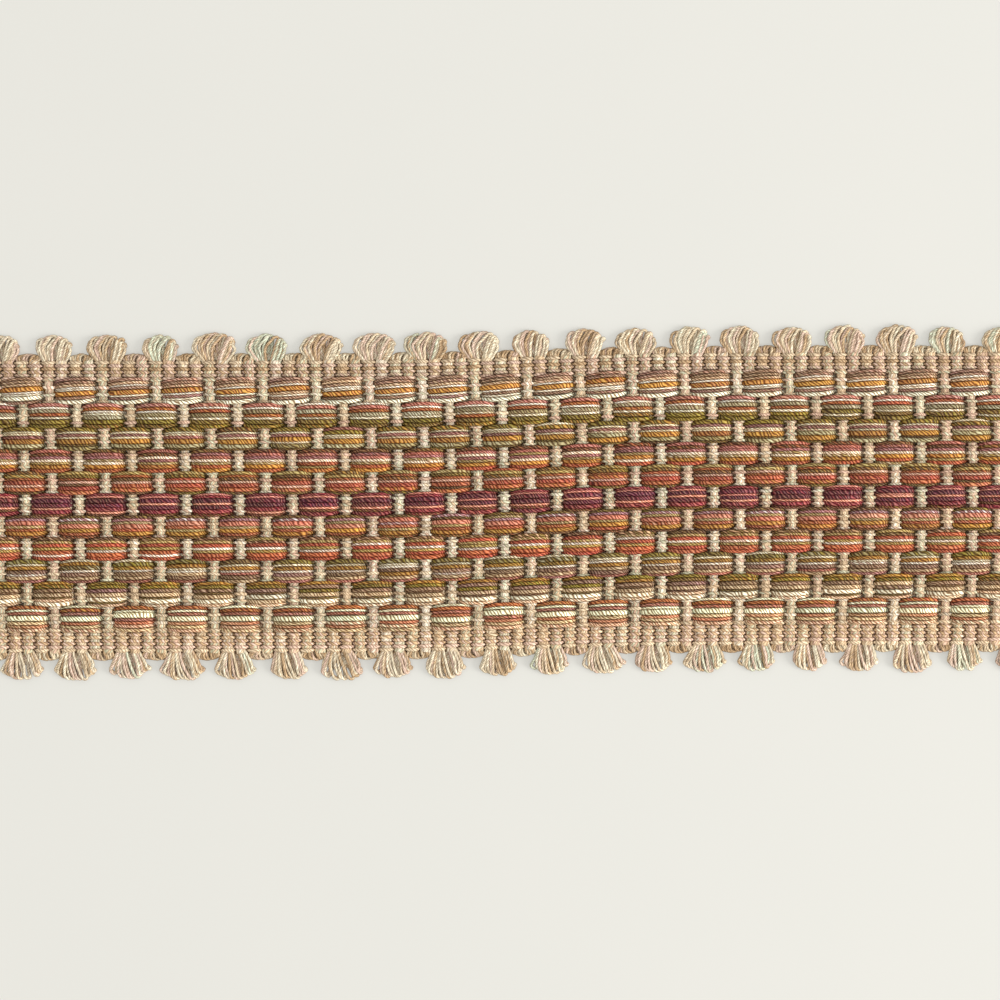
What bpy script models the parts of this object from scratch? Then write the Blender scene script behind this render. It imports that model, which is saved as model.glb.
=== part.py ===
"""Braid trim: a cut length of flat woven furnishing braid with looped picot edges.

The braid lies flat with its length along X and its face up. Eleven rows of warp bundles float over
three weft ribs and dive under the fourth, brickwork fashion. Along each long edge the wefts pass
through a ribbed selvedge and turn back, every other time as a picot loop.
"""

import math

import bmesh
import bpy
from mathutils import Vector

MM = 0.001

# The weave along the length.
RIB_PITCH = 2.366 * MM
RIBS_PER_REPEAT = 4
REPEATS = 21
RIBS = RIBS_PER_REPEAT * REPEATS
LENGTH = RIBS * RIB_PITCH

# The float rows across the width, from the middle row outwards.
ROW_HEIGHTS_FROM_MIDDLE = [3.96 * MM, 3.96 * MM, 3.96 * MM, 4.0 * MM, 4.3 * MM, 4.6 * MM]
ROW_HEIGHTS = ROW_HEIGHTS_FROM_MIDDLE[:0:-1] + ROW_HEIGHTS_FROM_MIDDLE
ROWS = len(ROW_HEIGHTS)
FIELD_HALF_WIDTH = sum(ROW_HEIGHTS) / 2
WINDOW_HALF_LENGTH = 0.95 * MM
FLOAT_END_SLOPE = 0.6 * MM
ROW_SHOULDER = 0.85 * MM

# Heights above the surface that the braid lies on.
FLOAT_TOP = 2.2 * MM
WINDOW_TOP = 1.3 * MM
GROOVE_TOP = 1.1 * MM
RIB_TOP = 1.65 * MM
RIB_VALLEY = 1.05 * MM

# The selvedges and what turns back beyond them.
PIECE_GAP = 0.3 * MM
SELVEDGE_HALF_WIDTH = 25.9 * MM
TURN_REACH = 1.6 * MM
TURN_SHOULDER = 1.15 * MM
PICOT_REACH = 5.0 * MM

# One row for each strand of a picot: where it leaves the rib, how far it swells, where it swells most
# and how far that is below its tip, and how many straight steps its bend takes.
STRANDS = [
    {"root": 1.95 * MM, "half_width": 2.80 * MM, "waist": 2.55 * MM, "crown": 2.15 * MM, "steps": 5},
    {"root": 1.18 * MM, "half_width": 1.75 * MM, "waist": 2.25 * MM, "crown": 1.45 * MM, "steps": 4},
    {"root": 0.41 * MM, "half_width": 0.75 * MM, "waist": 1.95 * MM, "crown": 0.75 * MM, "steps": 4},
]
STRAND_WIDTH = 0.62 * MM
STRAND_TOP_WIDTH = 0.36 * MM
STRAND_HEIGHT = 1.25 * MM
STRAND_ROOT_SHARE = 0.7
STRAND_ROOT_LIFT = 0.25 * MM
STRAND_ROOT_DEPTH = 0.7 * MM
BEND_START = math.radians(205)
BEND_END = math.radians(-25)

# How unevenly the braid lies.
DRIFT = 0.74 * MM
DRIFT_MIDDLE = 7 * MM
DRIFT_LENGTH = 25 * MM
STRETCH_LEFT = 0.025
LEAN_LEFT = 0.62 * MM
BOW_LEFT = 0.10 * MM
BOW_RIGHT = 0.55 * MM
PICOT_SWAY = 0.22 * MM
PICOT_SWELL = 0.06

YARN_COLOURS = {
    "woven_band": (0.40, 0.21, 0.12),
    "selvedge": (0.56, 0.43, 0.32),
}
YARN_ROUGHNESS = 0.75


def clear_scene():
    for thing in list(bpy.data.objects):
        bpy.data.objects.remove(thing)


def yarn_material(name, colour):
    material = bpy.data.materials.new(name)
    material.use_nodes = True
    shader = material.node_tree.nodes["Principled BSDF"]
    shader.inputs["Base Color"].default_value = (*colour, 1)
    shader.inputs["Roughness"].default_value = YARN_ROUGHNESS
    shader.inputs["Metallic"].default_value = 0
    return material


def uneven(index, kind):
    """A steady, irregular number from -1 to 1, so that no two loops are alike."""
    return math.sin(2.39 * index + 1.7 * kind + 1.3 * math.sin(5.1 * index + kind))


def as_laid(x, y, z):
    """Where a point of the straight braid lies once it drifts, leans and bows as it does on the table."""
    along = x / LENGTH + 0.5
    stretch = -STRETCH_LEFT * x * x / LENGTH
    across = y / FIELD_HALF_WIDTH
    lean = -LEAN_LEFT * (1 - along) * across
    bow = (BOW_LEFT + (BOW_RIGHT - BOW_LEFT) * along) * (1 - across * across)
    drift = DRIFT * math.tanh((x - DRIFT_MIDDLE) / DRIFT_LENGTH)
    return Vector((x + stretch + lean + bow, y + drift, z))


def rib_edge(index):
    """The x of the valley before this rib; each rib runs across the braid."""
    return -LENGTH / 2 + index * RIB_PITCH


def slab(name, steps_along, steps_across, point_at):
    """A closed sheet: a grid lifted point by point, its rim carried down, and one flat underside."""
    shape = bmesh.new()
    bmesh.ops.create_grid(shape, x_segments=steps_along, y_segments=steps_across, size=0.5)
    for vert in shape.verts:
        along = round((vert.co.x + 0.5) * steps_along)
        across = round((vert.co.y + 0.5) * steps_across)
        vert.co = as_laid(*point_at(along, across))
    rim = [edge for edge in shape.edges if edge.is_boundary]
    skirt = bmesh.ops.extrude_edge_only(shape, edges=rim)["geom"]
    foot = {item for item in skirt if isinstance(item, bmesh.types.BMVert)}
    for vert in foot:
        vert.co.z = 0
    skirt_edges = [item for item in skirt if isinstance(item, bmesh.types.BMEdge)]
    lowest = [edge for edge in skirt_edges if foot.issuperset(edge.verts)]
    bmesh.ops.edgeloop_fill(shape, edges=lowest)
    bmesh.ops.recalc_face_normals(shape, faces=shape.faces)
    mesh = bpy.data.meshes.new(name)
    shape.to_mesh(mesh)
    shape.free()
    piece = bpy.data.objects.new(name, mesh)
    return piece


def row_edges():
    """The y of each line between rows, from the lower edge of the float field to the upper one."""
    edges = [-FIELD_HALF_WIDTH]
    for height in ROW_HEIGHTS:
        edges.append(edges[-1] + height)
    edges[0] += PIECE_GAP / 2
    edges[-1] -= PIECE_GAP / 2
    return edges


def woven_band():
    """The field of floats: four grid lines for each repeat, and a groove and two shoulders for each row."""
    edges = row_edges()
    lines_per_row = 3

    def point_at(along, across):
        row, line = divmod(across, lines_per_row)
        x = rib_edge(along)
        if line == 0:
            return x, edges[row], GROOVE_TOP
        y = edges[row] + ROW_SHOULDER if line == 1 else edges[row + 1] - ROW_SHOULDER
        window = 0 if row % 2 == 0 else RIBS_PER_REPEAT // 2
        place = (along - window) % RIBS_PER_REPEAT
        at_cut = along in (0, RIBS)
        half = WINDOW_HALF_LENGTH + (FLOAT_END_SLOPE if place > 1 else 0)
        ribs_to_window = {0: 0.5, 1: -0.5, 2: -1.5, 3: 1.5}[place]
        side = -1 if ribs_to_window > 0 else 1
        if not at_cut:
            x += ribs_to_window * RIB_PITCH + side * half
        return x, y, WINDOW_TOP if place < 2 else FLOAT_TOP

    band = slab("woven_band", RIBS, ROWS * lines_per_row, point_at)
    return band


def selvedge(name, side):
    """The ribbed strip along one edge, with a ridge on each rib and the short turn-backs of the weft."""
    inner = FIELD_HALF_WIDTH + PIECE_GAP / 2
    first_turn = picot_rib(side) + 2
    reach = [0, TURN_SHOULDER, TURN_REACH, TURN_SHOULDER, 0, 0, 0, 0]

    def point_at(along, across):
        x = rib_edge(along / 2)
        place = (along - 2 * first_turn) % (2 * RIBS_PER_REPEAT)
        outer = SELVEDGE_HALF_WIDTH + reach[place]
        level = across if side > 0 else 1 - across
        z = RIB_TOP if along % 2 else RIB_VALLEY
        return x, side * (outer if level else inner), z

    return slab(name, 2 * RIBS, 1, point_at)


def picot_rib(side):
    """The first rib that turns back as a picot: the weft zigzags, so the lower ones come one rib later."""
    return 0 if side > 0 else 1


def strand_path(strand, middle, side, index):
    """One strand of a picot, from inside a rib, out and over its tip, and back inside the next rib."""
    swell = 1 + PICOT_SWELL * uneven(index, 1)
    sway = PICOT_SWAY * uneven(index, 2)
    base = SELVEDGE_HALF_WIDTH
    path = [(-strand["root"], -STRAND_ROOT_DEPTH, STRAND_ROOT_LIFT)]
    for step in range(strand["steps"] + 1):
        angle = BEND_START + (BEND_END - BEND_START) * step / strand["steps"]
        x = strand["half_width"] * swell * math.cos(angle) + sway
        y = (strand["waist"] + strand["crown"] * math.sin(angle)) * swell
        path.append((x, y, 0))
    path.append((strand["root"], -STRAND_ROOT_DEPTH, STRAND_ROOT_LIFT))
    return [as_laid(middle + x, side * (base + y), z) for x, y, z in path]


def strand_section():
    """The section swept along each strand: flat below, where it rests, and narrower above."""
    curve = bpy.data.curves.new("strand_section", "CURVE")
    curve.dimensions = "2D"
    spline = curve.splines.new("POLY")
    corners = [
        (-STRAND_WIDTH / 2, 0),
        (STRAND_WIDTH / 2, 0),
        (STRAND_TOP_WIDTH / 2, STRAND_HEIGHT),
        (-STRAND_TOP_WIDTH / 2, STRAND_HEIGHT),
    ]
    spline.points.add(len(corners) - 1)
    for point, corner in zip(spline.points, corners):
        point.co = (*corner, 0, 1)
    spline.use_cyclic_u = True
    return bpy.data.objects.new("strand_section", curve)


def picot_strands(side, section):
    """Every strand of one edge's picots, swept along its path and made one closed mesh."""
    curve = bpy.data.curves.new("strands", "CURVE")
    curve.dimensions = "3D"
    curve.twist_mode = "Z_UP"
    curve.bevel_mode = "OBJECT"
    curve.bevel_object = section
    curve.use_fill_caps = True
    for repeat in range(REPEATS):
        rib = picot_rib(side) + repeat * RIBS_PER_REPEAT
        for strand in STRANDS:
            path = strand_path(strand, rib_edge(rib + 1), side, repeat)
            spline = curve.splines.new("POLY")
            spline.points.add(len(path) - 1)
            for point, place in zip(spline.points, path):
                point.co = (*place, 1)
            spline.points[0].radius = STRAND_ROOT_SHARE
            spline.points[-1].radius = STRAND_ROOT_SHARE
    swept = bpy.data.objects.new("strands", curve)
    bpy.context.scene.collection.objects.link(swept)
    mesh = bpy.data.meshes.new_from_object(swept.evaluated_get(bpy.context.evaluated_depsgraph_get()))
    shape = bmesh.new()
    shape.from_mesh(mesh)
    bmesh.ops.remove_doubles(shape, verts=shape.verts, dist=0.00001)
    bmesh.ops.recalc_face_normals(shape, faces=shape.faces)
    shape.to_mesh(mesh)
    shape.free()
    bpy.data.objects.remove(swept)
    return bpy.data.objects.new("strands", mesh)


def picot_edge(name, side, section, cutters):
    """A selvedge with its picots fused to it by their roots."""
    strip = selvedge(name, side)
    strands = picot_strands(side, section)
    strands.name = name + "_strands"
    strands.hide_render = True
    strands.display_type = "WIRE"
    cutters.objects.link(strands)
    union = strip.modifiers.new("picots", "BOOLEAN")
    union.operation = "UNION"
    union.solver = "EXACT"
    union.object = strands
    return strip


def centre_over_origin(pieces):
    """Moves the whole trim so that the middle of its box stands over the origin."""
    bpy.context.view_layer.update()
    graph = bpy.context.evaluated_depsgraph_get()
    corners = []
    for piece in pieces:
        shown = piece.evaluated_get(graph)
        corners += [shown.matrix_world @ Vector(corner) for corner in shown.bound_box]
    shift = Vector((0, 0, 0))
    for axis in range(2):
        values = [corner[axis] for corner in corners]
        shift[axis] = -(min(values) + max(values)) / 2
    for thing in bpy.data.objects:
        thing.location += shift


def main():
    clear_scene()
    trim = bpy.data.collections.new("braid_trim")
    cutters = bpy.data.collections.new("cutters")
    for collection in (trim, cutters):
        bpy.context.scene.collection.children.link(collection)

    section = strand_section()
    section.hide_render = True
    section.display_type = "WIRE"
    cutters.objects.link(section)

    band = woven_band()
    upper = picot_edge("upper_picot_edge", 1, section, cutters)
    lower = picot_edge("lower_picot_edge", -1, section, cutters)
    band.data.materials.append(yarn_material("woven_band", YARN_COLOURS["woven_band"]))
    for edge in (upper, lower):
        edge.data.materials.append(yarn_material(edge.name, YARN_COLOURS["selvedge"]))
    for piece in (band, upper, lower):
        trim.objects.link(piece)
    centre_over_origin([band, upper, lower])


main()
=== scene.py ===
"""The braid trim yarn by yarn: coloured warp floats, cream weft ribs, fine ground warps and picots."""

import math
import random

import bpy
import numpy as np
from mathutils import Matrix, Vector


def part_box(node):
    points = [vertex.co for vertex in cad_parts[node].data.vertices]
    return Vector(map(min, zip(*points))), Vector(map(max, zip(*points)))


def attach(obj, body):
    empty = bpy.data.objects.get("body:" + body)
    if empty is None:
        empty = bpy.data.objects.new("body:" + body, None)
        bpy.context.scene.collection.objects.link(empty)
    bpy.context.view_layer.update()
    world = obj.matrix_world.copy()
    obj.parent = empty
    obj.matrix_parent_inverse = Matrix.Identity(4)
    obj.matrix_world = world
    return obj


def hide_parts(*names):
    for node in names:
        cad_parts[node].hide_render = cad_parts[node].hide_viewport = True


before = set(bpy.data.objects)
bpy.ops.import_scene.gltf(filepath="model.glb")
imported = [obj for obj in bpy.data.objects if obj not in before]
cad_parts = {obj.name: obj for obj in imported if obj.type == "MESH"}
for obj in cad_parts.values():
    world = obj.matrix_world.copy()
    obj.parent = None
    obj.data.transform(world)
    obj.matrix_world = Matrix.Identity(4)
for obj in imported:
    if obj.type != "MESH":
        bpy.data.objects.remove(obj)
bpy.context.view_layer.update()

MM = 0.001
SEED = 7

# The weave, in the same sizes as the solids.
RIB = 2.366 * MM
REPEAT = 4 * RIB
REPEATS = 21
RIBS = 4 * REPEATS
LENGTH = RIBS * RIB
ROW_HEIGHTS_FROM_MIDDLE = [3.96 * MM, 3.96 * MM, 3.96 * MM, 4.0 * MM, 4.3 * MM, 4.6 * MM]
ROW_HEIGHTS = ROW_HEIGHTS_FROM_MIDDLE[:0:-1] + ROW_HEIGHTS_FROM_MIDDLE
ROWS = len(ROW_HEIGHTS)
FIELD_HALF = sum(ROW_HEIGHTS) / 2
SELVEDGE_HALF = 25.9 * MM
LOWER_SELVEDGE = 26.6 * MM
YARNS_IN_ROW = 7
WARPS_ABOVE = 6
WARPS_BELOW = 7

# How unevenly the braid lies.
DRIFT = 0.74 * MM
DRIFT_MIDDLE = 7 * MM
DRIFT_LENGTH = 25 * MM
STRETCH_LEFT = 0.025
LEAN_LEFT = 0.62 * MM
BOW_LEFT = 0.10 * MM
BOW_RIGHT = 0.55 * MM

# Yarn sizes and heights above the table.
FLOAT_RADIUS = 0.325 * MM
GROUND_RADIUS = 0.30 * MM
EDGE_WARP_RADIUS = 0.34 * MM
GROUND_MIDDLE = 0.82 * MM
GROUND_SWING = 0.50 * MM
WEFT_HALF_WIDTH = 0.99 * MM
WINDOW_HALF_WIDTH = 0.84 * MM
WEFT_HALF_HEIGHT = 0.56 * MM
WEFT_MIDDLE = 0.78 * MM
PICOT_RADIUS = 0.28 * MM

# One row for each point of a float: how far it is from the middle of the window that the yarn dives under,
# how high its middle lies there and how far the row's yarns are pulled together, at the float's left end,
# just right of a window, and at its right end, where it dives sooner.
FLOAT_COURSE = [
    {"from_window": 0.00 * MM, "left": (0.33 * MM, 0.88), "right": (0.33 * MM, 0.88)},
    {"from_window": 0.75 * MM, "left": (0.40 * MM, 0.90), "right": (0.33 * MM, 0.90)},
    {"from_window": 1.15 * MM, "left": (0.82 * MM, 0.90), "right": (0.34 * MM, 0.89)},
    {"from_window": 1.40 * MM, "left": (1.16 * MM, 0.94), "right": (0.48 * MM, 0.92)},
    {"from_window": 1.80 * MM, "left": (1.48 * MM, 0.98), "right": (1.00 * MM, 0.96)},
    {"from_window": 2.45 * MM, "left": (1.66 * MM, 1.02), "right": (1.58 * MM, 1.01)},
    {"from_window": 3.50 * MM, "left": (1.84 * MM, 1.06), "right": (1.84 * MM, 1.06)},
    {"from_window": 4.73 * MM, "left": (1.90 * MM, 1.07), "right": (1.90 * MM, 1.07)},
]
# Painted light and shade along a float, from its left end to its right: darker at the left end, brightest where the
# right end faces the lamp, and painted shade again where it dives under the window.
PAINTED_FLOAT_LIGHT = [(0.0, 0.74), (0.25, 0.88), (0.6, 1.05), (0.75, 1.20), (0.80, 0.95), (0.85, 0.6), (1.0, 0.5)]

# The dyed colours of the yarns as they look in daylight, red, green and blue from 0 to 255.
DYES = {
    "white": (246, 240, 222),
    "cream": (240, 226, 196),
    "mint": (222, 226, 198),
    "ivory": (230, 208, 174),
    "sand": (204, 172, 132),
    "peach": (226, 176, 140),
    "pink": (208, 146, 124),
    "blush": (228, 198, 176),
    "rose": (180, 98, 84),
    "coral": (200, 112, 84),
    "mauve": (158, 104, 110),
    "taupe": (150, 116, 86),
    "khaki": (166, 142, 74),
    "sage": (146, 130, 86),
    "olive": (128, 110, 6),
    "gold": (194, 136, 38),
    "ochre": (172, 114, 30),
    "rust": (168, 84, 36),
    "orange": (190, 92, 52),
    "red": (178, 66, 50),
    "wine": (126, 26, 46),
    "plum": (94, 30, 58),
    "brown": (102, 60, 36),
}

# One line for each row of floats from the top of the braid to the bottom: how much its floats climb to the
# right, how much red, green and blue its dyes keep, and its yarns from the top down, each named by its two
# plies and its thickness.
FLOAT_ROWS = [
    {"climb": 0.060, "depth": (0.800, 0.708, 0.636), "yarns":
        "taupe-pink:0.9 taupe-sand:0.9 sand-pink:0.9 white-cream:0.6 gold-rust:1.6 cream-white:0.6 taupe-mauve:0.9 "
        "mint-cream:1.4"},
    {"climb": 0.010, "depth": (0.740, 0.669, 0.607), "yarns":
        "rose-pink:1.0 white-cream:0.6 rust-gold:0.9 sage-taupe:1.2 cream-khaki:0.7 olive-brown:1.3 olive-gold:1.0"},
    {"climb": 0.012, "depth": (0.646, 0.566, 0.460), "yarns":
        "olive-gold:1.2 cream-white:0.6 mauve-brown:0.9 cream-pink:0.6 gold-ochre:1.5 sage-khaki:1.2 brown-olive:0.6"},
    {"climb": 0.010, "depth": (0.700, 0.576, 0.501), "yarns":
        "brown-rust:1.0 rose-coral:1.0 mauve-rose:0.9 cream-white:0.9 khaki-cream:0.8 gold-ochre:1.2 rust-red:1.1"},
    {"climb": 0.010, "depth": (0.677, 0.666, 0.743), "yarns":
        "khaki-gold:1.0 brown-gold:1.0 rust-brown:0.8 peach-rose:0.8 red-rust:1.3 orange-gold:1.2 brown-olive:0.8"},
    {"climb": 0.010, "depth": (0.803, 0.581, 0.551), "yarns":
        "wine-rose:0.8 pink-mauve:0.6 plum-wine:1.5 plum-wine:1.3 peach-coral:0.7 wine-rose:1.3 brown-wine:0.8"},
    {"climb": 0.012, "depth": (0.707, 0.660, 0.670), "yarns":
        "brown-olive:0.8 mauve-white:0.8 coral-red:1.4 khaki-peach:0.8 rust-coral:0.9 gold-ochre:1.2 brown-rust:0.7"},
    {"climb": 0.012, "depth": (0.737, 0.657, 0.580), "yarns":
        "brown-peach:0.9 khaki-peach:0.9 red-rust:1.1 white-mauve:0.8 khaki-gold:0.9 orange-rust:1.3 red-rust:1.0"},
    {"climb": 0.020, "depth": (0.620, 0.557, 0.484), "yarns":
        "olive-sage:1.3 cream-khaki:0.7 ochre-gold:1.1 white-mauve:0.7 taupe-brown:1.2 sand-taupe:1.0 rose-brown:0.8"},
    {"climb": 0.024, "depth": (0.750, 0.701, 0.642), "yarns":
        "ochre-olive:0.9 olive-gold:1.0 taupe-brown:1.1 sand-taupe:1.2 brown-taupe:0.5 cream-sand:1.3 peach-cream:0.8"},
    {"climb": 0.010, "depth": (0.792, 0.778, 0.630), "yarns":
        "rust-ochre:1.1 cream-white:0.7 rose-brown:0.9 cream-mint:1.7 coral-rust:0.9 sand-pink:1.0 pink-cream:1.0"},
]
# The colour of the painted glints on the crests of the yarns.
PAINTED_GLINT = (252, 226, 170)
NEIGHBOUR_DYES = {
    "olive": "brown", "gold": "rust", "ochre": "olive", "rust": "red", "orange": "coral", "red": "orange",
    "wine": "plum", "plum": "brown", "brown": "olive", "rose": "mauve", "pink": "peach", "mauve": "rose",
    "taupe": "mauve", "khaki": "sage", "sage": "mint", "cream": "mint", "white": "blush", "mint": "cream",
}

# One row for each of five strands of a picot, from left to right: where it leaves the selvedge, where it
# swells, and where it turns over. The first number of a place is how far it lies to the right of the pinch
# between the picot's two ribs, the second how far out. Strands up to the slit show the leg that goes out,
# strands beyond it the leg that comes back.
UPPER_PICOT = [
    {"strand": "left edge", "order": 0.00, "root": -2.2, "swell": (-3.6, 2.0), "tip": (-3.1, 3.8)},
    {"strand": "left middle", "order": 0.30, "root": -1.3, "swell": (-2.0, 2.5), "tip": (-0.6, 4.65)},
    {"strand": "left of slit", "order": 0.60, "root": -0.35, "swell": (0.0, 2.2), "tip": (1.5, 4.45)},
    {"strand": "right of slit", "order": 0.61, "root": 0.40, "swell": (0.9, 1.9), "tip": (2.0, 4.15)},
    {"strand": "right edge", "order": 1.00, "root": 2.1, "swell": (3.0, 1.9), "tip": (2.95, 3.1)},
]
LOWER_PICOT = [
    {"strand": "left edge", "order": 0.00, "root": -2.2, "swell": (-2.8, 1.8), "tip": (-3.1, 3.35)},
    {"strand": "left middle", "order": 0.30, "root": -1.3, "swell": (-1.5, 2.3), "tip": (-1.1, 4.5)},
    {"strand": "left of slit", "order": 0.54, "root": -0.35, "swell": (0.3, 2.3), "tip": (1.4, 4.7)},
    {"strand": "right of slit", "order": 0.55, "root": 0.5, "swell": (1.2, 2.1), "tip": (1.9, 4.45)},
    {"strand": "right edge", "order": 1.00, "root": 2.1, "swell": (3.0, 1.9), "tip": (3.3, 3.25)},
]
SHORT_TURN = [
    {"strand": "left edge", "order": 0.00, "root": -1.9, "swell": (-2.1, 0.5), "tip": (-1.9, 0.8)},
    {"strand": "left middle", "order": 0.30, "root": -1.0, "swell": (-1.1, 0.7), "tip": (-0.7, 1.15)},
    {"strand": "left of slit", "order": 0.55, "root": -0.2, "swell": (0.0, 0.7), "tip": (0.5, 1.2)},
    {"strand": "right of slit", "order": 0.56, "root": 0.2, "swell": (0.5, 0.7), "tip": (0.9, 1.1)},
    {"strand": "right edge", "order": 1.00, "root": 1.8, "swell": (2.1, 0.5), "tip": (2.0, 0.8)},
]


def linear(colour):
    """A daylight colour as a share of light reflected."""
    share = np.array(colour, dtype=float) / 255
    return np.where(share <= 0.04045, share / 12.92, ((share + 0.055) / 1.055) ** 2.4)


def smoothly(low, high, value):
    part = np.clip((value - low) / (high - low), 0, 1)
    return part * part * (3 - 2 * part)


def bent(x, y):
    """Where the points of a straight braid lie once it drifts, leans and bows as it does on the table."""
    along = x / LENGTH + 0.5
    across = y / FIELD_HALF
    stretch = -STRETCH_LEFT * x * x / LENGTH
    lean = -LEAN_LEFT * (1 - along) * across
    bow = (BOW_LEFT + (BOW_RIGHT - BOW_LEFT) * along) * (1 - across * across)
    drift = DRIFT * np.tanh((x - DRIFT_MIDDLE) / DRIFT_LENGTH)
    return x + stretch + lean + bow, y + drift


def centring():
    """How far the solids were moved to stand over their own middle, read off the band's lowest corner."""
    low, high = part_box("woven_band")
    rib_lines = np.arange(RIBS + 1) * RIB - LENGTH / 2
    lower_edge = bent(rib_lines, np.full(RIBS + 1, -FIELD_HALF + 0.15 * MM))[1].min()
    upper_edge = bent(rib_lines, np.full(RIBS + 1, FIELD_HALF - 0.15 * MM))[1].max()
    rows = np.concatenate([[0], np.cumsum(ROW_HEIGHTS)]) - FIELD_HALF
    left_end = bent(np.full(ROWS + 1, -LENGTH / 2), rows)[0].min()
    shift_y = (low[1] + high[1]) / 2 - (lower_edge + upper_edge) / 2
    return low[0] - left_end, shift_y


SHIFT = centring()


def as_laid(points):
    """Points of the straight braid moved to where they lie."""
    x, y = bent(points[..., 0], points[..., 1])
    return np.stack([x + SHIFT[0], y + SHIFT[1], points[..., 2]], axis=-1)


def rib_middle(rib):
    return (rib + 0.5) * RIB - LENGTH / 2


def tubes(name, courses, half_widths, half_heights, sides, first_ply, second_ply, lay=True):
    """Yarns of one piece: closed tubes along courses, with their length and turn for the twist to follow."""
    courses = as_laid(courses) if lay else courses
    count, steps = courses.shape[:2]
    half_widths = np.broadcast_to(half_widths, (count, steps))
    half_heights = np.broadcast_to(half_heights, (count, steps))
    ahead = np.gradient(courses, axis=1)
    ahead /= np.linalg.norm(ahead, axis=2, keepdims=True)
    aside = np.cross(np.array([0.0, 0.0, 1.0]), ahead)
    aside /= np.maximum(np.linalg.norm(aside, axis=2, keepdims=True), 1e-9)
    above = np.cross(ahead, aside)
    turn = 2 * math.pi * np.arange(sides) / sides
    wide = half_widths[:, :, None, None] * np.cos(turn)[None, None, :, None] * aside[:, :, None, :]
    tall = half_heights[:, :, None, None] * np.sin(turn)[None, None, :, None] * above[:, :, None, :]
    points = (courses[:, :, None, :] + wide + tall).reshape(-1, 3)
    number = np.arange(count * steps * sides).reshape(count, steps, sides)
    following = np.roll(number, -1, axis=2)
    quads = np.stack([number[:, :-1], following[:, :-1], following[:, 1:], number[:, 1:]], axis=-1).reshape(-1)
    caps = np.concatenate([number[:, 0, ::-1], number[:, -1]], axis=1).reshape(-1)
    loops = np.concatenate([quads, caps]).astype(np.int32)
    totals = np.concatenate([np.full(len(quads) // 4, 4), np.full(len(caps) // sides, sides)])
    starts = np.concatenate([[0], np.cumsum(totals)[:-1]])

    stretch = np.linalg.norm(np.diff(courses, axis=1), axis=2)
    share = (np.arange(count) * 0.618 % 1)[:, None]
    length = share * MM + np.concatenate([np.zeros((count, 1)), np.cumsum(stretch, axis=1)], axis=1)
    length = length * (0.84 + 0.32 * share)
    u = np.broadcast_to(length[:, :, None], (count, steps, sides))
    v = np.broadcast_to(np.arange(sides)[None, None, :] / sides, (count, steps, sides))
    quad_u = np.stack([u[:, :-1], u[:, :-1], u[:, 1:], u[:, 1:]], axis=-1).reshape(-1)
    step_v = v[:, :-1]
    quad_v = np.stack([step_v, step_v + 1 / sides, step_v + 1 / sides, step_v], axis=-1).reshape(-1)
    cap_u = np.concatenate([u[:, 0], u[:, -1]], axis=1).reshape(-1)
    cap_v = np.concatenate([v[:, 0, ::-1], v[:, -1]], axis=1).reshape(-1)

    mesh = bpy.data.meshes.new(name)
    mesh.vertices.add(len(points))
    mesh.vertices.foreach_set("co", points.reshape(-1))
    mesh.loops.add(len(loops))
    mesh.loops.foreach_set("vertex_index", loops)
    mesh.polygons.add(len(totals))
    mesh.polygons.foreach_set("loop_start", starts.astype(np.int32))
    mesh.polygons.foreach_set("loop_total", totals.astype(np.int32))
    mesh.update(calc_edges=True)
    layer = mesh.uv_layers.new(name="yarn")
    along_and_round = np.stack([np.concatenate([quad_u, cap_u]) / MM, np.concatenate([quad_v, cap_v])], axis=-1)
    layer.data.foreach_set("uv", along_and_round.reshape(-1).astype(np.float32))
    for label, plies in (("first_ply", first_ply), ("second_ply", second_ply)):
        plies = np.broadcast_to(plies, (count, steps, 3))
        full = np.concatenate([plies, np.ones((count, steps, 1))], axis=2)
        colours = np.broadcast_to(full[:, :, None, :], (count, steps, sides, 4)).reshape(-1)
        mesh.attributes.new(label, "FLOAT_COLOR", "POINT").data.foreach_set("color", colours.astype(np.float32))
    mesh.polygons.foreach_set("use_smooth", np.ones(len(totals), dtype=bool))
    piece = bpy.data.objects.new(name, mesh)
    bpy.context.scene.collection.objects.link(piece)
    return piece


class Number:
    """A number that varies over a yarn, so that sums can be written with it."""

    def __init__(self, recipe, socket):
        self.recipe = recipe
        self.socket = socket

    def sum_with(self, operation, *others):
        return self.recipe.node("ShaderNodeMath", {"operation": operation}, {
            place: value for place, value in enumerate((self,) + others)
        })

    def __add__(self, other):
        return self.sum_with("ADD", other)

    __radd__ = __add__

    def __sub__(self, other):
        return self.sum_with("SUBTRACT", other)

    def __rsub__(self, other):
        return (self * -1) + other

    def __mul__(self, other):
        return self.sum_with("MULTIPLY", other)

    __rmul__ = __mul__

    def __truediv__(self, other):
        return self.sum_with("DIVIDE", other)

    def __pow__(self, other):
        return self.sum_with("POWER", other)

    def size(self):
        return self.sum_with("ABSOLUTE")

    def sine(self):
        return self.sum_with("SINE")

    def whole(self):
        return self.sum_with("FLOOR")

    def within(self, low, high):
        """0 below low, 1 above high, and even between."""
        return self.recipe.node("ShaderNodeMapRange", {"clamp": True}, {0: self, 1: low, 2: high, 3: 0.0, 4: 1.0})


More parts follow.
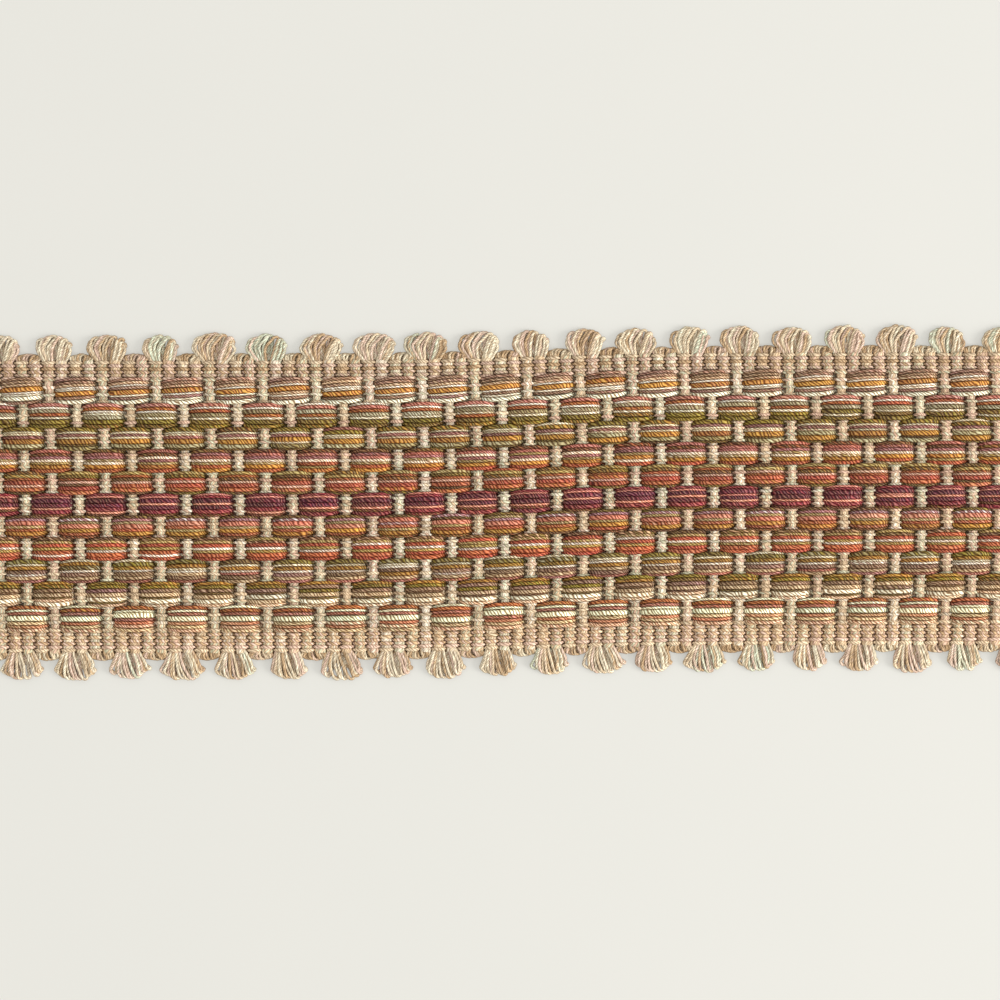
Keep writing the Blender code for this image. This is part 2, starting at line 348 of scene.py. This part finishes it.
class Recipe:
    """A yarn's look, put together from nodes."""

    def __init__(self, name):
        self.material = bpy.data.materials.new(name)
        self.material.use_nodes = True
        self.tree = self.material.node_tree
        self.surface = self.tree.nodes["Principled BSDF"]

    def connect(self, target, value):
        if isinstance(value, Number):
            self.tree.links.new(value.socket, target)
        else:
            target.default_value = value

    def node(self, kind, settings=None, values=None, out=0):
        added = self.tree.nodes.new(kind)
        for setting, value in (settings or {}).items():
            setattr(added, setting, value)
        for place, value in (values or {}).items():
            self.connect(added.inputs[place], value)
        return Number(self, added.outputs[out])

    def blend(self, factor, first, second, way="MIX"):
        settings = {"data_type": "RGBA", "blend_type": way}
        return self.node("ShaderNodeMix", settings, {0: factor, 6: first, 7: second}, out=2)

    def finish(self, **values):
        for place, value in values.items():
            self.connect(self.surface.inputs[place.replace("_", " ")], value)
        return self.material


def plied_yarn(name, lay_length, depth, groove_shade, gloss, painted_glint, plies=2, side_shade=0.42, crest=0.30, peak=1.3, strands=1, warm=1.0):
    """Yarn of a few plies twisted together, in two colours, or a bundle of yarns side by side round a rib, with painted
    shade in its grooves and on its sides and painted highlights on its crests.
    """
    recipe = Recipe(name)
    uv = recipe.node("ShaderNodeUVMap", {"uv_map": "yarn"})
    parts = recipe.tree.nodes.new("ShaderNodeSeparateXYZ")
    recipe.connect(parts.inputs[0], uv)
    along = Number(recipe, parts.outputs[0])
    turned = Number(recipe, parts.outputs[1])
    around = turned * strands
    place = recipe.node("ShaderNodeNewGeometry")
    slow = recipe.node("ShaderNodeTexNoise", {}, {"Vector": place, "Scale": 420.0, "Detail": 2.0})
    patch = recipe.node("ShaderNodeTexNoise", {}, {"Vector": place, "Scale": 1100.0, "Detail": 2.0})
    # Painted shade on the yarn's sides, where it meets its neighbours.
    side = (turned * (2 * math.pi)).sine().within(-0.05, 0.75) * (1 - side_shade) + side_shade
    turns = around * (plies / 2) - along / lay_length + slow * 1.6
    wave = (turns * (2 * math.pi)).sine()
    height = wave.size()
    if strands > 1:
        strand = around - around.whole()
        bundle = 1 - (strand * 2 - 1).size() ** 2.5
        height = height * 0.5 + bundle * 0.6
    fibre = recipe.node("ShaderNodeTexNoise", {}, {"Vector": place, "Scale": 6000.0, "Detail": 2.0})
    first = recipe.node("ShaderNodeAttribute", {"attribute_name": "first_ply"})
    second = recipe.node("ShaderNodeAttribute", {"attribute_name": "second_ply"})
    colour = recipe.blend(wave.within(-0.15, 0.15), first, second)
    # Painted shade in the grooves between plies, rising to a painted highlight of peak on their crests.
    shade = (height.within(crest, 0.98) * (peak - groove_shade) + groove_shade) * (0.70 + fibre * 0.60)
    shade = shade * side * (patch.within(0.3, 0.7) * 0.5 + 0.80)
    # The painted shade grows warmer as it darkens, and paler on the highlights.
    painted_shade_tint = recipe.node("ShaderNodeCombineColor", {}, {0: shade, 1: shade ** (1 + 0.15 * warm), 2: shade ** (1 + 0.3 * warm)})
    colour = recipe.blend(1.0, colour, painted_shade_tint, way="MULTIPLY")
    # Painted highlight: the crests mixed towards the glint colour.
    painted_sheen = height.within(0.85, 1.0) * fibre.within(0.38, 0.60) * painted_glint
    colour = recipe.blend(painted_sheen, colour, (*linear(PAINTED_GLINT), 1))
    bump_values = {"Strength": 1.0, "Distance": depth, "Height": height + fibre * 0.25}
    bump = recipe.node("ShaderNodeBump", {}, bump_values)
    return recipe.finish(Base_Color=colour, Roughness=gloss, Normal=bump, Specular_IOR_Level=0.25)


def dress(piece, material):
    piece.data.materials.append(material)
    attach(piece, "root")
    return piece


def row_middle(row):
    """The middle of a row of floats, counted from the top of the braid."""
    return FIELD_HALF - sum(ROW_HEIGHTS[:row]) - ROW_HEIGHTS[row] / 2


def first_window(row):
    """The rib that the row's yarns dive under in each repeat."""
    return 0 if row % 2 == 0 else 2


# How far the dyes of a row have run together, and how bright red, green and blue are to the eye.
RUN = 0.12
EYE = np.array([0.21, 0.72, 0.07])


def float_row(row, material, chance):
    """The coloured yarns of one row, from cut end to cut end."""
    chart = FLOAT_ROWS[row]
    yarns = [yarn.split(":") for yarn in chart["yarns"].split()]
    names = [yarn[0].split("-") for yarn in yarns]
    thick = np.array([float(yarn[1]) for yarn in yarns])
    thick *= YARNS_IN_ROW / thick.sum()
    windows = rib_middle(first_window(row) + 4 * np.arange(-1, REPEATS + 1))
    from_window = np.array([point["from_window"] for point in FLOAT_COURSE])
    left = np.array([point["left"] for point in FLOAT_COURSE])
    right = np.array([point["right"] for point in FLOAT_COURSE])
    one_float = np.concatenate([from_window, REPEAT - from_window[-2:0:-1]])
    places = np.concatenate([window + one_float for window in windows])
    floats = np.repeat(np.arange(len(windows)), len(one_float))
    inside = (places > -LENGTH / 2) & (places < LENGTH / 2)
    x = np.concatenate([[-LENGTH / 2], places[inside], [LENGTH / 2]])
    floats = np.concatenate([[floats[inside][0]], floats[inside], [floats[inside][-1]]])
    distance = np.abs((x - windows[0] + REPEAT / 2) % REPEAT - REPEAT / 2)
    leaving = (x - windows[floats]) < REPEAT / 2
    height, spread = (
        np.where(leaving, np.interp(distance, from_window, left[:, of]), np.interp(distance, from_window, right[:, of]))
        for of in (0, 1)
    )
    progress = (x - windows[floats]) / REPEAT
    # light is the painted light and shade along each float.
    light = np.interp(progress, *zip(*PAINTED_FLOAT_LIGHT))[:, None]

    # The yarns swap places a little from one float to the next.
    slots = np.zeros((len(windows) + 1, len(names)))
    for index in range(len(slots)):
        order = list(range(len(names)))
        for swap in range(2):
            place = chance.randrange(len(order) - 1)
            if chance.random() < 0.6:
                order[place], order[place + 1] = order[place + 1], order[place]
        widths = np.array([thick[yarn] for yarn in order]) * [chance.uniform(0.9, 1.1) for yarn in order]
        edges = np.concatenate([[0], np.cumsum(widths)]) / widths.sum()
        for place, yarn in enumerate(order):
            slots[index, yarn] = 0.5 - (edges[place] + edges[place + 1]) / 2
    here = slots[floats]
    before = slots[np.maximum(floats - 1, 0)]
    under = (distance < 0.8 * MM)[:, None] & leaving[:, None]
    after = slots[np.minimum(floats + 1, len(slots) - 1)]
    ending = (distance < 0.8 * MM)[:, None] & ~leaving[:, None]
    offset = np.where(under, (here + before) / 2, np.where(ending, (here + after) / 2, here))

    # The dyes of a row have run a little: each keeps its own lightness, and leans to the row's mean colour.
    dyes = {name: linear(DYES[name]) * chart["depth"] for pair in names for name in pair}
    dyes.update({
        NEIGHBOUR_DYES.get(name, "sand"): linear(DYES[NEIGHBOUR_DYES.get(name, "sand")]) * chart["depth"]
        for pair in names for name in pair
    })
    mean = np.mean([dyes[pair[0]] + dyes[pair[1]] for pair in names], axis=0)
    for name, dye in dyes.items():
        dyes[name] = dye * (1 - RUN) + mean * (dye @ EYE) / (mean @ EYE) * RUN

    middle_of_float = windows[floats] + REPEAT / 2
    climb = chart["climb"] * np.clip(x - middle_of_float, -3.4 * MM, 3.4 * MM)
    climb = climb * smoothly(0.5 * MM, 1.2 * MM, distance)
    courses = np.zeros((len(names), len(x), 3))
    first = np.zeros_like(courses)
    second = np.zeros_like(courses)
    for yarn, (one, two) in enumerate(names):
        lift = np.array([chance.uniform(-0.07, 0.06) for window in range(len(windows) + 1)])[floats] * MM
        wave = np.array([chance.uniform(-0.05, 0.05) for window in range(len(windows) + 1)])[floats] * MM
        rounding = 0.03 * MM * (1 - (offset[:, yarn] / 0.45) ** 2)
        stray = np.array([chance.uniform(-0.09, 0.09) for window in range(len(windows) + 1)])[floats] * MM
        courses[yarn, :, 0] = x + stray * smoothly(0.8 * MM, 1.2 * MM, distance) * (np.abs(x) < LENGTH / 2 - MM)
        courses[yarn, :, 1] = row_middle(row) + offset[:, yarn] * ROW_HEIGHTS[row] * spread + climb
        courses[yarn, :, 1] += wave * np.sin(math.pi * distance / REPEAT * 2)
        courses[yarn, :, 2] = height + (lift + rounding) * smoothly(0.9 * MM, 2 * MM, distance)
        kinship = np.array([chance.uniform(0.40, 0.95) for window in range(len(windows) + 1)])[floats][:, None]
        for plies, dye in ((first, one), (second, two)):
            strayed = NEIGHBOUR_DYES.get(dye, "sand")
            start, end = np.clip([[chance.gauss(0.08, 0.36) for window in range(len(windows) + 1)] for end in (0, 1)], 0, 0.9)
            share = (start[floats] * (1 - progress) + end[floats] * progress)[:, None]
            bright = np.array([chance.uniform(0.74, 1.20) for window in range(len(windows) + 1)])[floats][:, None]
            # Each ply's dye, with its random brightness, times the painted light and shade along the float.
            plies[yarn] = (dyes[dye] * (1 - share) + dyes[strayed] * share) * bright * light
        second[yarn] += (first[yarn] - second[yarn]) * kinship
    radii = FLOAT_RADIUS * thick[:, None] * np.ones((1, len(x)))
    piece = tubes(f"float_row_{row + 1}", courses, radii, np.minimum(radii * 0.9, 0.32 * MM), 6, first, second)
    return dress(piece, material)


# The ribs and fine warps are a little darker and warmer than the picots, most of all in the selvedges; the selvedges'
# extra darkness is partly painted shade for the shadows in their holes.
FIELD_TINT = np.array([0.80, 0.715, 0.66])
EDGE_TINT_AND_SHADE = np.array([0.76, 0.67, 0.60])


def mixed_dyes(chance, names, count):
    """One dye for each of several yarns, picked from a few names, a little lighter or darker each."""
    picked = [linear(DYES[chance.choice(names)]) * chance.uniform(0.88, 1.08) for index in range(count)]
    return np.array(picked)


def edge_warps(name, heights_across, material, tint, chance, first_number):
    """Fine warps of a selvedge, over one rib and under the next, every second one the other way about."""
    x = (rib_middle(np.arange(RIBS))[:, None] + np.array([-0.5, -0.33, 0.0, 0.33]) * RIB).reshape(-1)
    x = np.concatenate([x, [LENGTH / 2]])
    count = len(heights_across)
    swing = np.concatenate([np.tile([0, 0.78, 1, 0.78, 0, -0.78, -1, -0.78], RIBS // 2), [0]])
    squeeze = np.concatenate([np.tile([0.66, 0.98, 1.10, 0.98], RIBS), [0.66]]) * EDGE_WARP_RADIUS
    courses = np.zeros((count, len(x), 3))
    for index, y in enumerate(heights_across):
        way = 1 if (first_number + index) % 2 == 0 else -1
        shake = np.array([chance.uniform(-0.06, 0.06) for point in x]) * MM
        z = GROUND_MIDDLE + GROUND_SWING * swing * way - 0.12 * MM * (swing == 0)
        courses[index] = np.stack([x, y + shake, np.maximum(z, squeeze * 0.95)], axis=-1)
    names = ["ivory", "sand", "blush", "blush", "ivory", "sand"]
    first = mixed_dyes(chance, names, count)[:, None, :] * tint
    second = mixed_dyes(chance, names, count)[:, None, :] * tint
    return dress(tubes(name, courses, squeeze, squeeze * 0.95, 6, first, second), material)


def field_warps(material, chance):
    """Fine warps of the field: every second one shows over the windows of its row, the others stay below. The knuckles'
    tips and the buried warps are painted darker, as painted shade.
    """
    positions = ground_positions()[1]
    names = ["cream", "white", "ivory", "cream", "blush", "mint"]
    offsets = np.array([-0.64, -0.50, -0.33, 0.0, 0.33, 0.50, 0.64]) * RIB
    knuckle = np.array([0.42, 0.66, 1.18, 1.32, 1.18, 0.66, 0.42]) * MM
    widths = np.array([0.5, 0.62, 0.98, 1.15, 0.98, 0.62, 0.5]) * GROUND_RADIUS
    squeeze = np.concatenate([[0.8 * GROUND_RADIUS], np.tile(widths, REPEATS), [0.8 * GROUND_RADIUS]])
    # Painted shade: each knuckle darkens towards its tips, where it dives beside the floats.
    light = np.concatenate([[0.2], np.tile([0.4, 0.75, 1.0, 1.0, 1.0, 0.75, 0.4], REPEATS), [0.2]])[:, None]
    z = np.concatenate([[0.42 * MM], np.tile(knuckle, REPEATS), [0.42 * MM]])
    shown = []
    buried = []
    fuller = []
    mottling_and_painted_shade = []
    for index, y in enumerate(positions):
        row = index // YARNS_IN_ROW
        if (WARPS_ABOVE + index) % 2 == 0:
            windows = rib_middle(first_window(row) + 4 * np.arange(REPEATS))
            x = (windows[:, None] + offsets).reshape(-1)
            x = np.concatenate([[-LENGTH / 2], x, [LENGTH / 2]])
            x = np.maximum(x, -LENGTH / 2 + 0.02 * MM * np.arange(len(x)))
            shake = np.array([chance.uniform(-0.11, 0.11) for point in x]) * MM
            lift = np.repeat([chance.uniform(-0.13, 0.08) for window in range(REPEATS)], 7) * MM
            lift = np.concatenate([[0], lift, [0]])
            shown.append(np.stack([x, y + shake, np.maximum(z + lift, squeeze)], axis=-1))
            grown = np.repeat([chance.uniform(0.84, 1.16) for window in range(REPEATS)], 7)
            fuller.append(np.concatenate([[1], grown, [1]]) * squeeze)
            spots = np.repeat([chance.uniform(0.80, 1.16) for window in range(REPEATS)], 7)
            spots = np.concatenate([[1], spots, [1]])[:, None] * light
            mottling_and_painted_shade.append(spots)
        else:
            x = np.linspace(-LENGTH / 2, LENGTH / 2, 2 * REPEATS + 1)
            buried.append(np.stack([x, np.full_like(x, y), np.full_like(x, 0.32 * MM)], axis=-1))
    pieces = []
    # The buried warps are painted dark, at 0.38, as painted shade for where they lie.
    for name, courses, sizes, tone_and_painted_shade in (
        ("window_warps", shown, np.array(fuller), np.array(mottling_and_painted_shade)),
        ("buried_warps", buried, GROUND_RADIUS, 0.38)
    ):
        first = mixed_dyes(chance, names, len(courses))[:, None, :] * FIELD_TINT * tone_and_painted_shade
        second = mixed_dyes(chance, names, len(courses))[:, None, :] * FIELD_TINT * tone_and_painted_shade
        piece = tubes(name, np.array(courses), sizes, sizes * 0.95, 6, first, second)
        pieces.append(dress(piece, material))
    return pieces


def ground_positions():
    """How far across the braid each fine warp lies, from the top down, with the rows' spacing."""
    selvedge_pitch = 0.575 * MM
    above = [FIELD_HALF + selvedge_pitch * (4.9 - index) for index in range(WARPS_ABOVE)]
    field = []
    for row in range(ROWS):
        pitch = ROW_HEIGHTS[row] / YARNS_IN_ROW
        field += [row_middle(row) + ROW_HEIGHTS[row] / 2 - pitch * (index + 0.5) for index in range(YARNS_IN_ROW)]
    below = [-FIELD_HALF - selvedge_pitch * (index - 0.1) for index in range(WARPS_BELOW)]
    return above, field, below


def weft_rib(rib):
    """The places along one rib where it needs points: close in its windows and selvedges, sparse below floats."""
    above, field, below = ground_positions()
    places = [(SELVEDGE_HALF + 0.1 * MM, False, "selvedge")]
    for number, y in enumerate(above + field + below):
        row = (number - len(above)) // YARNS_IN_ROW
        in_field = len(above) <= number < len(above) + len(field)
        window = in_field and (rib - first_window(row)) % 4 == 0
        over = (number + rib) % 2 == 0
        if not in_field or window or (number - len(above)) % YARNS_IN_ROW == 3:
            places.append((y, over, "window" if window else "under" if in_field else "selvedge"))
    return places + [(-LOWER_SELVEDGE - 0.1 * MM, False, "selvedge")]


def weft_ribs(name, ribs, material, chance):
    """The thick ribs across the braid, nipped wherever a fine warp binds them."""
    pieces = []
    palette = ["cream", "ivory", "mint", "white", "blush", "cream", "ivory"]
    for group in (0, 1, 2, 3):
        members = [rib for rib in ribs if rib % 4 == group]
        places = weft_rib(group)
        y = np.array([place[0] for place in places])
        over = np.array([place[1] for place in places])
        shown = np.array([place[2] for place in places])
        count = len(members)
        courses = np.zeros((count, len(y), 3))
        sway = np.array([[chance.uniform(-0.07, 0.07) for point in y] for member in members]) * MM
        courses[:, :, 0] = rib_middle(np.array(members))[:, None] + sway
        courses[:, :, 1] = y[None, :]
        sunk = np.where(shown == "under", -0.16, np.where(over, -0.06, 0.05))
        courses[:, :, 2] = WEFT_MIDDLE + sunk * MM
        shake = np.array([[chance.uniform(0.92, 1.08) for point in y] for member in members])
        widths = np.where(shown == "window", WINDOW_HALF_WIDTH, WEFT_HALF_WIDTH)
        widths = widths * np.where(over, 0.84, 1.0)[None, :] * shake
        heights = np.where(shown == "under", 0.78, np.where(over, 0.80, 1.08))
        heights = WEFT_HALF_HEIGHT * heights[None, :] * np.ones((count, 1))
        tint = np.where((shown == "selvedge")[:, None], EDGE_TINT_AND_SHADE, FIELD_TINT)
        first = mixed_dyes(chance, palette, count)[:, None, :] * tint
        second = mixed_dyes(chance, palette, count)[:, None, :] * tint
        piece = tubes(f"{name}_{group + 1}", courses, widths, heights, 10, first, second)
        pieces.append(dress(piece, material))
    return pieces


def smooth_course(knots, steps):
    """A smooth course through the knots: arrays of shape (yarns, knots, 3)."""
    count = knots.shape[1]
    ends = np.concatenate([2 * knots[:, :1] - knots[:, 1:2], knots, 2 * knots[:, -1:] - knots[:, -2:-1]], axis=1)
    place = np.linspace(0, count - 1, steps)
    start = np.minimum(place.astype(int), count - 2)
    t = (place - start)[None, :, None]
    a, b, c, d = (ends[:, start + step] for step in range(4))
    return 0.5 * (2 * b + (c - a) * t + (2 * a - 5 * b + 4 * c - d) * t**2 + (3 * b - a - 3 * c + d) * t**3)


def loops(name, side, chart, first_rib, look, material, slot, chance):
    """The loops of one edge: strands that leave one rib, fan out, turn over and come back to the next rib."""
    strands = look["strands"]
    order = np.array([row["order"] for row in chart])
    slit = (order[2] + order[3]) / 2
    courses = []
    first = []
    second = []
    for repeat in range(-1, REPEATS):
        rib = 4 * repeat + first_rib
        if rib < 0 or rib + 1 >= RIBS:
            continue
        size = chance.uniform(0.94, 1.05)
        sway = chance.uniform(-1, 1) * look["sway"]
        spread = chance.uniform(0.92, 1.08)
        palette = chance.choice(look["palettes"])
        knots = np.zeros((strands, 9, 3))
        for strand in range(strands):
            nest = strand / (strands - 1)
            root = np.interp(nest, order, [row["root"] for row in chart])
            swell = [np.interp(nest, order, [row["swell"][axis] for row in chart]) for axis in (0, 1)]
            tip, ahead = (
                [np.interp(place, order, [row["tip"][axis] for row in chart]) for axis in (0, 1)]
                for place in (nest, nest + 0.08)
            )
            before = [np.interp(nest - 0.08, order, [row["tip"][axis] for row in chart]) for axis in (0, 1)]
            outline = np.array(ahead) - before
            outline = outline / np.linalg.norm(outline) * look["turn"] * (1.2 - 0.9 * nest)
            shake = look["shake"]
            swell = [swell[0] * spread + sway * 0.4 + chance.uniform(-shake, shake), swell[1]]
            tip = [tip[0] * spread + sway + chance.gauss(0, shake * 1.5), tip[1] + chance.uniform(-shake, shake * 0.6)]
            back = (0.4 + 1.5 * nest) if nest < slit else (-0.4 - 1.5 * (1 - nest))
            high = look["height"] + (0.10 if strand % 2 else -0.04) + chance.uniform(-0.05, 0.05)
            leg = [
                (root * 0.7, -0.9, 0.6),
                (root, 0.1, high + 0.1),
                (swell[0], swell[1], high + 0.05),
                ((swell[0] + tip[0] * 2) / 3 - 0.12, (swell[1] + tip[1] * 2) / 3, high - 0.1),
                (tip[0], tip[1], (high + PICOT_RADIUS / MM) / 2),
                (tip[0] + outline[0], tip[1] + outline[1] - 0.10, PICOT_RADIUS / MM + 0.05),
                ((tip[0] + back) / 2, tip[1] * 0.5, PICOT_RADIUS / MM + 0.02),
                (back, 0.1, 0.4),
                (back * 0.7, -0.9, 0.5),
            ]
            knots[strand] = np.array(leg) * [size, size, 1]
        knots *= MM
        knots[:, :, 0] += rib_middle(rib) + RIB / 2
        knots[:, :, 1] = side * (knots[:, :, 1] + (SELVEDGE_HALF if side > 0 else LOWER_SELVEDGE))
        courses.append(smooth_course(knots, look["steps"]))
        first.append(mixed_dyes(chance, palette, strands) * look["tint"])
        second.append(mixed_dyes(chance, palette, strands) * look["tint"] * 0.35 + first[-1] * 0.55)
    courses = np.concatenate(courses)
    courses[:, :, 2] = np.maximum(courses[:, :, 2], PICOT_RADIUS)
    first = np.concatenate(first)[:, None, :]
    second = np.concatenate(second)[:, None, :]
    piece = tubes(name, courses, PICOT_RADIUS, PICOT_RADIUS, 6, first, second)
    return dress(piece, material)


def ground_cloth():
    """The close inner weave that fills the gaps between the yarns: a thin sheet inside the braid, dark brown so that
    the gaps show dark, partly painted shade.
    """
    steps_along, steps_across = 168, 24
    x = np.linspace(-LENGTH / 2, LENGTH / 2, steps_along + 1)
    y = np.linspace(-LOWER_SELVEDGE - 0.3 * MM, SELVEDGE_HALF + 0.3 * MM, steps_across + 1)
    grid_x, grid_y = np.meshgrid(x, y, indexing="ij")
    points = []
    for height in (0.50 * MM, 0.38 * MM):
        points.append(as_laid(np.stack([grid_x, grid_y, np.full_like(grid_x, height)], axis=-1)).reshape(-1, 3))
    number = np.arange(grid_x.size).reshape(grid_x.shape)
    faces = np.stack([number[:-1, :-1], number[1:, :-1], number[1:, 1:], number[:-1, 1:]], axis=-1).reshape(-1, 4)
    under = faces[:, ::-1] + grid_x.size
    rim = np.concatenate([number[:, 0], number[-1, 1:], number[-2::-1, -1], number[0, -2:0:-1]])
    following = np.roll(rim, -1)
    wall = np.stack([rim, rim + grid_x.size, following + grid_x.size, following], axis=-1)
    mesh = bpy.data.meshes.new("ground_cloth")
    mesh.from_pydata(np.concatenate(points).tolist(), [], np.concatenate([faces, under, wall]).tolist())
    piece = bpy.data.objects.new("ground_cloth", mesh)
    bpy.context.scene.collection.objects.link(piece)
    recipe = Recipe("inner_weave")
    place = recipe.node("ShaderNodeNewGeometry")
    grain = recipe.node("ShaderNodeTexNoise", {}, {"Vector": place, "Scale": 1800.0, "Detail": 3.0})
    # Its dark brown is partly painted shade, so that the gaps between the yarns read as deep.
    dark = (*linear((124, 90, 66)), 1)
    light = (*linear((160, 124, 96)), 1)
    colour = recipe.blend(grain, dark, light)
    bump = recipe.node("ShaderNodeBump", {}, {"Strength": 0.6, "Distance": 0.0001, "Height": grain})
    return dress(piece, recipe.finish(Base_Color=colour, Roughness=0.85, Normal=bump))


def table_top():
    """The plain pale surface that the braid lies on; it glows faintly, painted light that lifts the braid's shadows on
    it.
    """
    bpy.ops.mesh.primitive_plane_add(size=3, location=(0, 0, -0.02 * MM))
    floor = bpy.context.object
    floor.name = "table_top"
    recipe = Recipe("table_top")
    place = recipe.node("ShaderNodeNewGeometry")
    cloud = recipe.node("ShaderNodeTexNoise", {}, {"Vector": place, "Scale": 30.0, "Detail": 2.0})
    colour = recipe.blend(cloud, (*linear((154, 154, 150)), 1), (*linear((157, 156, 152)), 1))
    # Painted light: the surface glows faintly to lift the shadows cast on it.
    painted_glow = (*linear((171, 170, 164)), 1)
    material = recipe.finish(Base_Color=colour, Roughness=0.8, Emission_Color=painted_glow, Emission_Strength=1.0)
    floor.data.materials.append(material)


def area_light(name, place, size, power, colour):
    """A round lamp that faces the middle of the braid."""
    light = bpy.data.lights.new(name, "AREA")
    light.shape = "DISK"
    light.size = size
    light.energy = power
    light.color = colour
    lamp = bpy.data.objects.new(name, light)
    lamp.location = place
    lamp.rotation_euler = (-Vector(place)).to_track_quat("-Z", "Y").to_euler()
    bpy.context.scene.collection.objects.link(lamp)


def studio():
    area_light("window_light", (0.98, -0.18, 0.44), 0.60, 10.8, (1.0, 0.985, 0.955))
    world = bpy.data.worlds.new("studio")
    world.use_nodes = True
    world.node_tree.nodes["Background"].inputs["Color"].default_value = (1.0, 0.99, 0.97, 1)
    world.node_tree.nodes["Background"].inputs["Strength"].default_value = 0.90
    bpy.context.scene.world = world
    bpy.context.scene.view_settings.view_transform = "Standard"


def camera():
    lens = bpy.data.cameras.new("camera")
    lens.lens = 100
    lens.sensor_width = 36
    lens.clip_start = 0.01
    view = bpy.data.objects.new("camera", lens)
    view.location = (SHIFT[0] + 0.66 * MM, SHIFT[1] + 0.16 * MM, 0.5 + 1.5 * MM)
    bpy.context.scene.collection.objects.link(view)
    bpy.context.scene.camera = view


def main():
    chance = random.Random(SEED)
    wool = plied_yarn("float_yarn", 1.34, 0.00009, 0.42, 0.45, 0.26, plies=3, side_shade=0.50, crest=0.30, peak=1.72, warm=2.2)
    fine = plied_yarn("fine_warp_yarn", 1.20, 0.00008, 0.64, 0.5, 0.12, plies=3, side_shade=0.60)
    weft = plied_yarn("weft_bundle", 1.2, 0.00012, 0.68, 0.55, 0.10, strands=6)
    soft = plied_yarn("picot_yarn", 1.20, 0.00006, 0.78, 0.55, 0.06, plies=4, side_shade=0.42)

    cloth = ground_cloth()
    rows = [float_row(row, wool, chance) for row in range(ROWS)]
    above, field, below = ground_positions()
    upper = edge_warps("upper_edge_warps", above, fine, (0.76, 0.72, 0.70), chance, 0)
    warps = field_warps(fine, chance)
    number = len(above + field)
    lower = edge_warps("lower_edge_warps", below, fine, (0.86, 0.815, 0.79), chance, number)
    ribs = weft_ribs("weft_ribs", range(RIBS), weft, chance)
    palettes = [
        ["cream", "ivory", "cream", "sand", "blush"],
        ["ivory", "cream", "sand", "cream", "blush"],
        ["cream", "mint", "ivory", "sand", "blush"],
    ]
    picot = {
        "strands": 14, "steps": 26, "height": 0.82, "sway": 0.35, "shake": 0.14, "turn": 0.9, "palettes": palettes,
        "tint": (0.83, 0.81, 0.80),
    }
    tan = [["ivory", "sand", "blush", "sand"], ["ivory", "cream", "sand"]]
    turn = {
        "strands": 9, "steps": 18, "height": 0.85, "sway": 0.15, "shake": 0.08, "turn": 0.9, "palettes": tan,
        "tint": (0.76, 0.73, 0.70),
    }
    upper_loops = loops("upper_picots", 1, UPPER_PICOT, 0, picot, soft, "upper_picot_edge", chance)
    lower_loops = loops("lower_picots", -1, LOWER_PICOT, 1, picot, soft, "lower_picot_edge", chance)
    upper_turns = loops("upper_turns", 1, SHORT_TURN, 2, turn, soft, "upper_picot_edge", chance)
    lower_turns = loops("lower_turns", -1, SHORT_TURN, 3, turn, soft, "lower_picot_edge", chance)

    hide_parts("woven_band")
    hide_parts("upper_picot_edge")
    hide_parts("lower_picot_edge")
    others = rows + warps + ribs + [upper, lower, upper_loops, lower_loops, upper_turns, lower_turns]
    table_top()
    studio()
    camera()


main()
